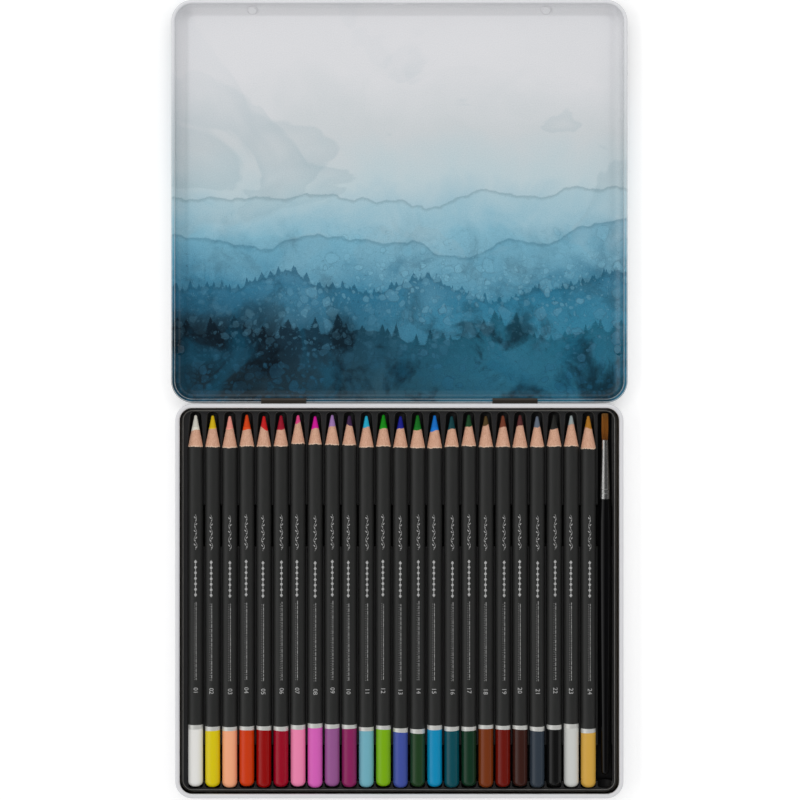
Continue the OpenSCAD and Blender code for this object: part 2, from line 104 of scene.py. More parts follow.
class Wire:
    """An output socket that does arithmetic: each operator adds one Math node."""

    __add__, __radd__ = operator("ADD"), operator("ADD", True)
    __sub__, __rsub__ = operator("SUBTRACT"), operator("SUBTRACT", True)
    __mul__, __rmul__ = operator("MULTIPLY"), operator("MULTIPLY", True)
    __truediv__, arctan2 = operator("DIVIDE"), operator("ARCTAN2")
    __lt__, __gt__ = operator("LESS_THAN"), operator("GREATER_THAN")
    at_least, at_most = operator("MAXIMUM"), operator("MINIMUM")

    def __init__(self, shader: "Shader", socket: bpy.types.NodeSocket) -> None:
        """Wraps a socket of the shader's tree."""
        self.shader = shader
        self.socket = socket

    def __abs__(self) -> "Wire":
        """Distance from zero."""
        return self.math("ABSOLUTE")

    def math(self, operation: str, *values: Number) -> "Wire":
        """Adds a Math node over the given values, or else over this one."""
        return self.shader.node("ShaderNodeMath", {"operation": operation},
                                dict(enumerate(values or (self,))))

    def smooth(self, low: float, high: float) -> "Wire":
        """Rises softly from 0 at low to 1 at high, or falls if low is the larger."""
        return self.shader.node("ShaderNodeMapRange", {"interpolation_type": "SMOOTHSTEP"},
                                {"Value": self, "From Min": low, "From Max": high})

    def beside(self, output: Union[str, int]) -> "Wire":
        """Another output of the same node."""
        return Wire(self.shader, self.socket.node.outputs[output])

    def parts(self) -> tuple["Wire", "Wire", "Wire"]:
        """The three parts of this vector."""
        x = self.shader.node("ShaderNodeSeparateXYZ", None, {0: self})
        return x, x.beside(1), x.beside(2)

    def stretched(self, factors: Point) -> "Wire":
        """This vector multiplied part by part."""
        return self.shader.node("ShaderNodeVectorMath", {"operation": "MULTIPLY"},
                                {0: self, 1: factors})

    def noise(self, scale: float, detail: float = 2.0, roughness: float = 0.5,
              distortion: float = 0.0) -> "Wire":
        """Cloudy noise of about 0.5 over this vector, with scale bumps to a unit."""
        return self.shader.node("ShaderNodeTexNoise", None,
                                {"Vector": self, "Scale": scale, "Detail": detail,
                                 "Roughness": roughness, "Distortion": distortion})

    def line_noise(self, scale: float, detail: float = 3.0) -> "Wire":
        """Cloudy noise along this one value."""
        return self.shader.node("ShaderNodeTexNoise", {"noise_dimensions": "1D"},
                                {"W": self, "Scale": scale, "Detail": detail})

    def chance(self) -> "Wire":
        """A fixed random number for each value."""
        return self.shader.node("ShaderNodeTexWhiteNoise", {"noise_dimensions": "1D"},
                                {"W": self})

    def cells(self, scale: float, feature: str = "F1", output: str = "Distance") -> "Wire":
        """Distances or colors of a field of cells over this vector."""
        return self.shader.node("ShaderNodeTexVoronoi",
                                {"feature": feature, "voronoi_dimensions": "2D"},
                                {"Vector": self, "Scale": scale}, output=output)

    def ramp(self, stops: Sequence[tuple[float, Rgb]]) -> "Wire":
        """Looks this value up in a ramp of colors.

        Args:
            stops: Place and screen color of each stop.

        Returns:
            The color.
        """
        made = self.shader.node("ShaderNodeValToRGB", None, {0: self})
        elements = made.socket.node.color_ramp.elements
        while len(elements) < len(stops):
            elements.new(0.5)
        for element, (place, color) in zip(elements, stops):
            element.position, element.color = place, linear(color)
        return made

    def under(self, amount: Number, color: Any, blend: str = "MIX") -> "Wire":
        """This color under an amount of another."""
        return self.shader.mix(amount, self, color, blend)


def length(first: Wire, second: Wire) -> Wire:
    """Length of the flat vector (first, second)."""
    return (first * first + second * second).math("SQRT")


def inward(x: Wire, y: Wire, size: Pair, corner: float) -> Wire:
    """Distance in from the outline of a rounded rectangle about 0.

    Args:
        x: Place across.
        y: Place along.
        size: Width and depth of the rectangle.
        corner: Radius of its corners.

    Returns:
        The distance, below 0 outside.
    """
    across = abs(x) - (size[0] / 2 - corner)
    along = abs(y) - (size[1] / 2 - corner)
    out = length(across.at_least(0.0), along.at_least(0.0))
    return corner - (out + across.at_least(along).at_most(0.0))


class Shader:
    """One node material, and the few ways in which nodes are added to it."""

    def __init__(self, name: str) -> None:
        """Makes the material with its Principled surface.

        Args:
            name: The material's name.
        """
        self.material = bpy.data.materials.new(name)
        self.material.use_nodes = True
        self.tree = self.material.node_tree
        self.surface = self.tree.nodes["Principled BSDF"]
        self._place: Union[Wire, None] = None

    @classmethod
    def of_world(cls, world: bpy.types.World) -> "Shader":
        """Wraps a world's tree, with its Background as the surface.

        Args:
            world: The world.

        Returns:
            The wrapper.
        """
        shader = cls.__new__(cls)
        shader.material = None
        shader.tree = world.node_tree
        shader.surface = shader.tree.nodes["Background"]
        return shader

    def node(self, kind: str, settings: Union[dict[str, Any], None] = None,
             inputs: Union[dict[Any, Any], None] = None, output: Any = 0) -> Wire:
        """Adds one node.

        Args:
            kind: The node's type.
            settings: Its properties, set first.
            inputs: Socket name or number to a constant or a wire.
            output: Name or number of the output that is returned.

        Returns:
            The chosen output.
        """
        made = self.tree.nodes.new(kind)
        for key, value in (settings or {}).items():
            setattr(made, key, value)
        for key, value in (inputs or {}).items():
            self._feed(made.inputs[key], value)
        return Wire(self, made.outputs[output])

    def _feed(self, socket: bpy.types.NodeSocket, value: Any) -> None:
        """Links a wire to a socket, or sets a constant on it.

        Args:
            socket: The input socket.
            value: A wire or a constant.
        """
        if isinstance(value, Wire):
            self.tree.links.new(value.socket, socket)
        else:
            socket.default_value = value

    def mix(self, factor: Number, first: Any, second: Any, blend: str = "MIX") -> Wire:
        """Blends two colors; one of three parts is a screen color, turned to light."""
        first, second = (linear(color) if isinstance(color, tuple) and len(color) == 3
                         else color for color in (first, second))
        return self.node("ShaderNodeMix", {"data_type": "RGBA", "blend_type": blend},
                         {0: factor, 6: first, 7: second}, output=2)

    def place(self) -> Wire:
        """Object coordinates in millimetres.

        Returns:
            The place.
        """
        if self._place is None:
            raw = self.node("ShaderNodeTexCoord", output="Object")
            self._place = self.node("ShaderNodeVectorMath", {"operation": "SCALE"},
                                    {0: raw, "Scale": 1 / MM})
        return self._place

    def join(self, x: Number, y: Number, z: Number) -> Wire:
        """A vector of three values."""
        return self.node("ShaderNodeCombineXYZ", None, {0: x, 1: y, 2: z})

    def grain(self, stretch: Point, scale: float = 1.0, detail: float = 3.0,
              roughness: float = 0.5, distortion: float = 0.0) -> Wire:
        """Noise over the place, stretched part by part."""
        return self.place().stretched(stretch).noise(scale, detail, roughness, distortion)

    def bump(self, height: Wire, distance_mm: float) -> Wire:
        """A normal tilted by a height of 0 to 1 that stands distance_mm proud."""
        return self.node("ShaderNodeBump", None,
                         {"Height": height, "Distance": distance_mm * MM, "Strength": 1.0},
                         output="Normal")

    def dress(self, **inputs: Any) -> Union[Material, None]:
        """Feeds the surface's sockets, with an underscore for a space in a name.

        Args:
            inputs: Socket name to a constant or a wire.

        Returns:
            The material, or None for a world.
        """
        for key, value in inputs.items():
            self._feed(self.surface.inputs[key.replace("_", " ")], value)
        return self.material


@dataclass(frozen=True)
class Shell:
    """The rounded box that a sheet metal pan is drawn to."""

    width: float
    depth: float
    corner: float
    edge: float
    middle_y: float = 0.0
    sheet: float = 0.3

    def inside(self, shader: Shader) -> Wire:
        """1 on the pan's inner face, 0 on its outer face.

        A point's distance in from the outline and its height give the
        depth under the outer face of a rounded edge.

        Args:
            shader: The material that the nodes go into.

        Returns:
            The mask.
        """
        x, y, z = shader.place().parts()
        border = inward(x, y - self.middle_y, (self.width, self.depth), self.corner)
        under = self.edge - length((self.edge - border).at_least(0.0),
                                   (self.edge - z).at_least(0.0))
        return under > self.sheet / 2


# Finishes


@dataclass(frozen=True)
class Ridge:
    """One wash of hills in the lid's print. Heights are in decimetres."""

    height: float
    swing: float
    bends: float
    color: Rgb
    strength: float
    mist: float
    tree: float
    seed: float


HILLS = (
    Ridge(0.04, 0.40, 1.1, (150, 192, 206), 0.36, 0.24, 0.0, 3.1),
    Ridge(-0.18, 0.36, 1.4, (84, 154, 182), 0.42, 0.24, 0.0, 8.7),
    Ridge(-0.40, 0.30, 1.8, (28, 98, 130), 0.70, 0.24, 0.035, 14.2),
    Ridge(-0.62, 0.28, 2.2, (5, 30, 46), 0.80, 0.34, 0.075, 21.9),
)
RIM_BLUE = (0.004, 0.018, 0.03, 1.0)


@dataclass(frozen=True)
class Watercolor:
    """A printed wash of misty hills with firs, over a deep foreground."""

    seed: float = 0.0
    sky: tuple[tuple[float, Rgb], ...] = (
        (0.00, (0, 7, 13)), (0.08, (4, 30, 44)), (0.16, (18, 68, 92)),
        (0.28, (60, 128, 158)), (0.41, (130, 182, 202)), (0.54, (190, 208, 214)),
        (0.66, (205, 211, 214)), (0.82, (222, 223, 226)), (1.00, (227, 227, 230)))

    def firs(self, u: Wire, above: Wire, ridge: Ridge, often: float) -> Wire:
        """Mask of fir trees that stand on a ridge.

        Each tree is a triangle in its own cell along u, of random height,
        whose sides are stepped by a saw wave for the boughs.

        Args:
            u: Place across the print.
            above: Height over the ridge.
            ridge: The ridge that they stand on.
            often: Trees to a decimetre.

        Returns:
            1 on a tree.
        """
        cell = u * often + ridge.seed
        number = cell.math("FLOOR")
        off = abs(cell.math("FRACT") - 0.5 - 0.3 * ((number + 0.37).chance() - 0.5))
        tall = ridge.tree * (0.25 + 0.95 * number.chance())
        boughs = 0.72 + 0.5 * (above * (-9.0 / ridge.tree)).math("FRACT")
        reach = (tall - above) * (0.34 / ridge.tree) * boughs
        return (reach - off).smooth(0.0, 0.03)

    def color(self, u: Wire, v: Wire) -> Wire:
        """Color of the print.

        Args:
            u: Place across the print in decimetres.
            v: Place up the print in decimetres, 0 in the middle.

        Returns:
            The color.
        """
        spot = u.shader.join(u, v, self.seed)
        clouds = spot.noise(1.3, 5.0, 0.55, 0.6)
        wisps = spot.noise(4.0, 6.0, 0.6, 1.2)
        lean = 0.13 * u * v.smooth(-0.3, -0.8)
        depth = 0.5 + 0.5 * v + 0.26 * (clouds - 0.5) + 0.1 * (wisps - 0.5) + lean
        paint = depth.ramp(self.sky)
        high = v.smooth(0.75, 0.1) * v.smooth(-0.4, -0.1)
        for wash, level in ((spot.noise(0.9, 4.0, 0.5, 0.7), 0.52),
                            (spot.stretched((1.0, 1.3, 4.0)).noise(1.5, 4.0, 0.5, 0.6), 0.55)):
            wet = wash.smooth(level, level + 0.02)
            dry = wash.smooth(level + 0.12, level)
            paint = paint.under(wet * (0.05 + 0.26 * dry) * (0.15 + 0.85 * high),
                                (150, 176, 186))
        ragged = 0.03 * (spot.noise(22.0, 4.0, 0.6) - 0.5)
        for ridge in HILLS:
            bend = (u + (ridge.seed + self.seed)).line_noise(ridge.bends, 4.0)
            above = v - ridge.height - ridge.swing * (bend - 0.5) + ragged
            mask = above.smooth(0.004, -0.004)
            if ridge.tree:
                for shift, often in ((0.0, 0.62), (0.7, 0.93)):
                    mask = mask.at_least(self.firs(u + shift, above, ridge,
                                                   often / ridge.tree))
            rim = above.smooth(-0.022, -0.002) * mask * 0.22
            fade = above.smooth(-ridge.mist, 0.05)
            mottle = 0.75 + 0.5 * spot.noise(7.0 + ridge.seed / 9, 5.0, 0.6, 0.8)
            amount = mask * (0.15 + 0.85 * fade) * ridge.strength * mottle
            paint = paint.under(amount.at_most(1.0), ridge.color)
            paint = paint.under(rim, RIM_BLUE)
        paint = paint.under(u.smooth(-0.6, 0.8) * v.smooth(-0.2, -0.6) * 0.42, (44, 138, 168))
        paint = paint.under(u.smooth(-0.2, -0.9) * v.smooth(-0.5, -0.8) * 0.6, (0, 6, 12))
        return self.foreground(spot, v, paint, wisps)

    def foreground(self, spot: Wire, v: Wire, paint: Wire, wisps: Wire) -> Wire:
        """Adds the wet blooms, the bubbles and the grain of the paper.

        Args:
            spot: Place on the print as a vector.
            v: Place up the print.
            paint: The color so far.
            wisps: Fine clouds over the print.

        Returns:
            The color with them.
        """
        shader = spot.shader
        low = (v + 0.5 * (wisps - 0.5)).smooth(0.0, -0.4)
        patch = spot.noise(4.2, 5.0, 0.62, 0.5)
        other = spot.stretched((1.0, 1.0, 3.0)).noise(3.1, 5.0, 0.6, 0.9)
        stain = patch.smooth(0.48, 0.64) * (0.3 + 0.5 * v.smooth(-0.4, -0.7))
        paint = paint.under(stain * low, (2, 14, 24))
        paint = paint.under(other.smooth(0.5, 0.7) * low * 0.4, (18, 96, 126))
        wobble = shader.node("ShaderNodeVectorMath", {"operation": "MULTIPLY_ADD"},
                             {0: shader.node("ShaderNodeTexNoise", None,
                                             {"Vector": spot, "Scale": 16.0}, output="Color"),
                              1: (0.05, 0.05, 0.0), 2: spot})
        flock = 0.25 + 0.75 * spot.noise(1.5, 2.0).smooth(0.42, 0.56)
        glint = shader.mix(v.smooth(-0.25, -0.85), (130, 188, 210), (34, 98, 130))
        for scale, size, glow in ((11.0, 0.46, 0.42), (19.0, 0.46, 0.46), (38.0, 0.44, 0.36)):
            near = wobble.cells(scale)
            luck = wobble.cells(scale, output="Color").parts()
            disc = (near - size * luck[0]).smooth(0.02, -0.05)
            line = disc * (near - size * luck[0]).smooth(-0.10, -0.02)
            shown = (luck[1] > 0.35) * (0.35 + 0.65 * luck[2]) * low * flock
            paint = paint.under(disc * shown * glow, glint)
            paint = paint.under(line * shown * 0.55, (20, 58, 78))
            seam = wobble.cells(scale, "DISTANCE_TO_EDGE").smooth(0.06, 0.0)
            paint = paint.under(seam * low * wisps * 0.14, (12, 36, 50))
        salt = spot.noise(48.0, 4.0, 0.75)
        paint = paint.under(salt.smooth(0.58, 0.72) * low * 0.3, glint)
        paint = paint.under(salt.smooth(0.42, 0.3) * low * 0.4, (12, 34, 46))
        tooth = spot.noise(190.0, 3.0, 0.7)
        return paint.under(0.5, shader.mix(tooth, BLACK, WHITE), "SOFT_LIGHT")


@dataclass(frozen=True)
class LidPrint:
    """The lid's print, inside and out, under a satin varnish.

    At the two bends of the rolled edge the print is lightened in thin pale lines, a painted
    highlight that stands in for the varnish's shine.
    """

    shell: Shell
    outline: Pair
    roll_z: float = 6.65
    # places and half widths of the painted highlight lines at the rolled edge's bends
    bends: tuple[Pair, ...] = ((0.4, 0.28), (1.8, 0.26))
    dimple_x: float = 69.6
    dimple_y: float = -69.6
    dimple_depth: float = 1.1
    dimple_turn: float = math.radians(40.0)
    front_width: float = 6.0
    side_width: float = 6.3
    back_seed: float = 5.3

    def dented(self, x: Wire, y: Wire, z: Wire) -> Wire:
        """Where the dimples' hollows are, down to the middle of their sheet.

        A dimple is a cone round an axis through the middle of the edge's
        arc, turned from the wall. It ends flat at 0.3 of its width from
        the axis and widens by 0.2 of it over its depth and the sheet.

        Args:
            x: Place across the lid.
            y: Place along the lid, 0 in the middle.
            z: Height over the panel's outer face.

        Returns:
            1 in a hollow.
        """
        shell = self.shell
        out = shell.edge - inward(x, y, (shell.width, shell.depth), shell.corner)
        down = shell.edge - z
        sine, cosine = math.sin(self.dimple_turn), math.cos(self.dimple_turn)
        off = out * cosine - down * sine
        along = out * sine + down * cosine - (shell.edge - self.dimple_depth
                                              - 0.3 * shell.sheet)
        front = length(abs(x) - self.dimple_x, off) / self.front_width + 9.0 * (y < 0.0)
        side = length(y - self.dimple_y, off) / self.side_width
        reach = 0.3 + along * (0.2 / (self.dimple_depth + shell.sheet))
        return (reach - front.at_most(side) > 0.0) * (along > 0.0)

    def material(self) -> Material:
        """Makes the material.

        Returns:
            The material.
        """
        shader = Shader("lid_print")
        x, y, z = shader.place().parts()
        y = y - self.shell.middle_y
        inner = (self.shell.inside(shader) * (1.0 - self.dented(x, y, z))).at_least(
            z > self.roll_z)
        u, v = x * DM, y * DM
        face = Watercolor().color(u, v)
        back = Watercolor(self.back_seed).color(u * -1.0, v * -1.0)
        varnish = shader.place().noise(0.9, 3.0)
        grow = (self.outline[0] - self.shell.width) / 2
        border = inward(x, y, self.outline, self.shell.corner + grow)
        # painted highlight: thin pale lines along the two bends stand in for the varnish's
        # shine
        for place, half in self.bends:
            line = abs(border - place).smooth(half, 0.3 * half)
            wear_and_highlight = line * (z > self.roll_z) * (0.35 + 0.7 * varnish)
            face = face.under(wear_and_highlight, (214, 216, 218))
        return shader.dress(
            Base_Color=shader.mix(inner, back, face),
            Roughness=0.36 + 0.08 * varnish, Specular_IOR_Level=0.05,
            Coat_Weight=0.8, Coat_Roughness=0.1,
            Normal=shader.bump(varnish, 0.006))


@dataclass(frozen=True)
class BaseFinish:
    """White enamel outside and on the rim, bare tinplate inside and on the knuckles."""

    shell: Shell
    rim_z: float
    hinge_y: float
    hinge_z: float
    wrap_r: float
    white: Rgb = (223, 223, 225)
    tin: Rgb = (150, 143, 132)

    def material(self) -> Material:
        """Makes the material.

        Returns:
            The material.
        """
        shader = Shader("white_enamel_and_tinplate")
        _, y, z = shader.place().parts()
        pan = self.shell.inside(shader) * (z < self.rim_z)
        away = length(y - self.hinge_y, z - self.hinge_z)
        knuckle = (y > self.shell.depth / 2 + 0.02) * (away > self.wrap_r)
        bare = pan.at_least(knuckle)
        cloud = shader.place().noise(0.25, 4.0)
        streak = shader.grain((0.15, 3.0, 3.0), detail=4.0, roughness=0.65)
        metal = shader.mix(streak, (120, 110, 98), self.tin)
        metal = metal.under(knuckle, (92, 86, 80))
        enamel = shader.mix(cloud, self.white, (216, 216, 219))
        return shader.dress(
            Base_Color=shader.mix(bare, enamel, metal), Metallic=bare * 0.9,
            Roughness=0.3 + 0.06 * cloud + 0.1 * bare * streak,
            Normal=shader.bump(cloud + 0.4 * bare * streak, 0.01))


@dataclass(frozen=True)
class MouldedPlastic:
    """Satin black moulded sheet, with a painted highlight along the flange's bead and the
    pockets' top edges.

    The bead is found by the distance in from the outline, which is that of
    a rounded rectangle. What lies under the flange is painted darker, as shade
    in the pockets, and is rougher.
    """

    middle: float
    width: float
    depth: float
    corner: float
    top: float
    bead_in: float
    color: Rgb = (42, 42, 43)

    def material(self) -> Material:
        """Makes the material.

        Returns:
            The material.
        """
        shader = Shader("moulded_black_plastic")
        place = shader.place()
        x, y, z = place.parts()
        border = inward(x - self.middle, y, (self.width, self.depth), self.corner)
        crest = abs(border - self.bead_in).smooth(0.26, 0.08)
        recess_shade = z.smooth(self.top - 0.4, self.top - 1.9)
        lip = z.smooth(self.top - 0.04, self.top - 0.14) * (1.0 - recess_shade)
        lit = (0.95 * crest * (1.0 - recess_shade)).at_least(0.45 * lip)
        cloud = place.noise(0.12, 4.0, 0.6)
        grain = place.noise(9.0, 2.0, 0.6)
        scuff = shader.grain((4.0, 0.12, 1.0), roughness=0.7)
        mark = scuff.smooth(0.62, 0.75)
        base = shader.mix(cloud, self.color, (33, 33, 34))
        # painted shade: what lies below the flange is darkened nearly to black, as shade in
        # the pockets
        base = base.under(recess_shade * 0.9, (3, 3, 4))
        # painted highlight: pale lines along the bead's crest and the pockets' top edges
        base = base.under(lit, (132, 130, 126))
        return shader.dress(
            Base_Color=base.under(mark * 0.3 * (1.0 - recess_shade), (66, 66, 66)),
            Roughness=0.26 + 0.12 * cloud + 0.12 * mark + 0.25 * recess_shade - 0.12 * crest,
            Normal=shader.bump(grain, 0.012))


@dataclass(frozen=True)
class Axis:
    """The long axis of a round piece that lies along Y, and where its back end is."""

    x: float
    z: float
    back: float
    front: float

    def turned(self, shader: Shader) -> tuple[Wire, Wire]:
        """Angle round the axis and distance from the back end."""
        x, y, z = shader.place().parts()
        return (x - self.x).arctan2(z - self.z), y - self.back


@dataclass(frozen=True)
class Sharpening:
    """The wavy line round a sharpened cone between its wood and its colored lead."""

    at: float
    slant: float
    seed: float

    def lead(self, turn: Wire, along: Wire) -> Wire:
        """1 on the lead's side of the line, 0 on the wood's.

        Args:
            turn: Angle round the axis.
            along: Distance from the back end.

        Returns:
            The mask.
        """
        wave = self.slant * (turn + 0.6 * math.sin(self.seed)).math("SINE")
        wave = wave + 0.14 * (turn * 3.0 + self.seed).math("SINE")
        fuzz = 0.5 * (turn.shader.grain((2.5, 0.8, 2.5)) - 0.5)
        return (along - self.at - wave - fuzz).smooth(-0.09, 0.09)

    def wood(self, shader: Shader) -> Wire:
        """Color of the cut wood, with long grain and fine fibres.

        Args:
            shader: The material that the nodes go into.

        Returns:
            The color.
        """
        grain = shader.grain((3.2, 0.09, 3.2), 1.0, 4.0, 0.6, 0.3)
        fibre = shader.grain((6.0, 1.4, 6.0), roughness=0.65)
        tone = 0.5 + 0.5 * (grain - 0.5) + 0.6 * (fibre - 0.5)
        return tone.ramp(((0.3, (160, 108, 80)), (0.46, (204, 156, 130)),
                          (0.7, (226, 184, 158))))


@dataclass(frozen=True)
class BarrelFinish:
    """Black lacquer with a colored dipped end, a silver ring and a sharpened wood cone."""

    axis: Axis
    dip: Rgb
    lead: Rgb
    ring_at: float
    paint_end: float
    sharpening: Sharpening
    ring_width: float = 1.95

    def material(self) -> Material:
        """Makes the material.

        Returns:
            The material.
        """
        shader = Shader("lacquered_barrel")
        seed = self.sharpening.seed
        turn, along = self.axis.turned(shader)
        wave = 0.12 * (turn * 3.0 + seed).math("SINE")
        wave = wave + 0.07 * (turn * 7.0 + 2.3 * seed).math("SINE")
        fuzz = shader.grain((3.5, 1.0, 3.5), detail=4.0, roughness=0.6)
        past = along - self.paint_end - wave - 1.5 * (fuzz - 0.5)
        wood = past.smooth(-0.05, 0.05)
        edge = 0.18 * (turn + 0.5 * seed).math("COSINE")
        dip = (along + edge).smooth(self.ring_at + 0.04, self.ring_at - 0.04)
        end = self.ring_at + self.ring_width
        ring = (1.0 - dip) * along.smooth(end + 0.04, end - 0.04)
        cloud = shader.grain((1.0, 0.2, 1.0), 0.8)
        black = shader.mix(cloud, (37, 38, 37), (44, 44, 43))
        paint = shader.mix(dip, black, linear(self.dip, GLOSS))
        paint = paint.under(ring, (214, 214, 210))
        timber = self.sharpening.wood(shader)
        lip = past.smooth(0.6, 0.15)
        timber = timber.under(lip * 0.65, (240, 214, 190))
        timber = timber.under(self.sharpening.lead(turn, along), linear(self.lead, GLOSS))
        return shader.dress(
            Base_Color=paint.under(wood, timber),
            Metallic=ring * (1.0 - wood) * 0.35, Specular_IOR_Level=0.35,
            Roughness=0.46 + 0.08 * cloud + 0.12 * wood - 0.12 * ring - 0.28 * dip,
            Normal=shader.bump(wood * fuzz + 0.15 * cloud, 0.03))


@dataclass(frozen=True)
class LeadFinish:
    """Waxy colored lead with the fine turned marks of sharpening."""

    axis: Axis
    color: Rgb
    sharpening: Sharpening

    def material(self) -> Material:
        """Makes the material.

        Returns:
            The material.
        """
        shader = Shader("colored_lead")
        turn, along = self.axis.turned(shader)
        rings = along.line_noise(7.0, 2.0)
        crumb = shader.place().noise(5.0, 3.0, 0.6)
        dark = tuple(0.8 * c for c in self.color)
        wax = shader.mix(0.75 * crumb, linear(self.color, GLOSS), linear(dark, GLOSS))
        return shader.dress(
            Base_Color=shader.mix(self.sharpening.lead(turn, along),
                                  self.sharpening.wood(shader), wax),
            Roughness=0.42 + 0.2 * crumb, Specular_IOR_Level=0.3,
            Normal=shader.bump(0.6 * rings + 0.4 * crumb, 0.03))


@dataclass(frozen=True)
class HandleLacquer:
    """Deep glossy black lacquer on the brush handle."""

    def material(self) -> Material:
        """Makes the material.

        Returns:
            The material.
        """
        shader = Shader("black_gloss_lacquer")
        peel = shader.grain((1.0, 0.3, 1.0), 1.1)
        return shader.dress(
            Base_Color=shader.mix(peel, (4, 4, 5), (8, 8, 9)),
            Roughness=0.07 + 0.04 * peel, Specular_IOR_Level=0.3,
            Normal=shader.bump(peel, 0.01))


@dataclass(frozen=True)
class FerruleMetal:
    """Drawn nickelled tube with fine lines along it."""

    axis: Axis

    def material(self) -> Material:
        """Makes the material.

        Returns:
            The material.
        """
        shader = Shader("drawn_nickel")
        turn, along = self.axis.turned(shader)
        lines = shader.join(turn * 9.0, along * 0.25, 0.0).noise(1.0, 4.0, 0.7)
        crinkle = shader.grain((3.0, 1.3, 3.0), roughness=0.65)
        dull = shader.place().noise(0.7, 3.0)
        return shader.dress(
            Base_Color=shader.mix(dull, (214, 214, 211), (180, 180, 178)),
            Metallic=1.0, Roughness=0.16 + 0.12 * lines + 0.06 * dull,
            Normal=shader.bump(0.3 * lines + crinkle, 0.09))


@dataclass(frozen=True)
class HairFinish:
    """Brown hair that pales towards its blunt tip."""

    root_y: float
    tip_y: float

    def material(self) -> Material:
        """Makes the material.

        Returns:
            The material.
        """
        shader = Shader("brown_hair")
        _, y, _ = shader.place().parts()
        part = (y - self.root_y) / (self.tip_y - self.root_y)
        strand = shader.grain((6.0, 0.05, 6.0), detail=2.0)
        tone = (part + 0.5 * (strand - 0.5)).ramp(
            ((0.0, (118, 68, 16)), (0.4, (150, 90, 24)), (0.85, (156, 98, 34)),
             (1.0, (176, 128, 70))))
        return shader.dress(Base_Color=tone, Roughness=0.45 + 0.2 * strand,
                            Specular_IOR_Level=0.25)


@dataclass(frozen=True)
class Foil:
    """Silver foil stamped on the barrels."""

    def material(self) -> Material:
        """Makes the material.

        Returns:
            The material.
        """
        shader = Shader("stamped_foil")
        wear_and_highlight = shader.place().noise(2.2, 4.0, 0.65)
        return shader.dress(
            Base_Color=shader.mix(wear_and_highlight, (205, 205, 204), (160, 160, 159)),
            Metallic=0.25, Roughness=0.35 + 0.2 * wear_and_highlight,
            Normal=shader.bump(wear_and_highlight, 0.006))


# Pieces


def placed(name: str, data: bpy.types.ID) -> Object:
    """Makes an object that holds the data, and links it to the scene.

    Args:
        name: The object's name.
        data: What it holds.

    Returns:
        The object.
    """
    made = bpy.data.objects.new(name, data)
    bpy.context.scene.collection.objects.link(made)
    return made


def mesh_object(name: str, points: np.ndarray, faces: Sequence[Sequence[int]],
                material: Material, smooth: bool = True) -> Object:
    """Puts arrays into a mesh object at the origin.

    Args:
        name: The piece's name.
        points: Vertex places in millimetres, one row each.
        faces: Vertex numbers, one row a face.
        material: Its only material.
        smooth: Whether the faces are shaded smooth.

    Returns:
        The object, linked to the scene.
    """
    mesh = bpy.data.meshes.new(name)
    mesh.from_pydata((points * MM).tolist(), [], faces)
    mesh.polygons.foreach_set("use_smooth", np.full(len(mesh.polygons), smooth))
    mesh.materials.append(material)
    mesh.update()
    return placed(name, mesh)


def close(mesh: bpy.types.Mesh, *others: bpy.types.Mesh, sides: int = 0) -> None:
    """Joins other meshes to a mesh and turns all its faces outward.

    Args:
        mesh: The mesh that is changed.
        others: Meshes that it takes in.
        sides: Holes of up to so many sides are filled first.
    """
    whole = bmesh.new()
    for part in (mesh, *others):
        whole.from_mesh(part)
    if sides:
        bmesh.ops.holes_fill(whole, edges=whole.edges, sides=sides)
    bmesh.ops.recalc_face_normals(whole, faces=whole.faces)
    whole.to_mesh(mesh)
    whole.free()


def between_rings(first: np.ndarray, after: np.ndarray, sides: int) -> list[list[int]]:
    """Faces of four corners between rings of points.

    Args:
        first: Number of the first point of each ring.
        after: Number of the first point of the ring that follows it.
        sides: Points round a ring.

    Returns:
        The faces.
    """
    k = np.arange(sides)
    beside = (k + 1) % sides
    first, after = first.reshape(-1, 1), after.reshape(-1, 1)
    return np.stack([first + k, after + k, after + beside, first + beside],
                    axis=-1).reshape(-1, 4).tolist()


def fans(first: np.ndarray, middle: np.ndarray, sides: int) -> list[list[int]]:
    """Faces of three corners between rings of points and their middle points.

    Args:
        first: Number of the first point of each ring.
        middle: Number of each ring's middle point.
        sides: Points round a ring.

    Returns:
        The faces.
    """
    first, k = first.reshape(-1, 1), np.arange(sides)
    return np.stack([first + k, first + (k + 1) % sides, middle.reshape(-1, 1) + 0 * k],
                    axis=-1).reshape(-1, 3).tolist()


def paint_node(node: str, material: Material) -> None:
    """Gives a carried-over CAD node its material, in every slot.

    Args:
        node: The node's name.
        material: Its material.
    """
    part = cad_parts[node]
    if not part.material_slots:
        part.data.materials.append(material)
    for slot in part.material_slots:
        slot.material = material


def node_axis(node: str) -> Axis:
    """Axis of a round node that lies along Y, read from its box.

    Args:
        node: The node's name.

    Returns:
        The axis.
    """
    low, high = (np.array(corner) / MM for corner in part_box(node))
    middle = (low + high) / 2
    return Axis(float(middle[0]), float(middle[2]), float(low[1]), float(high[1]))


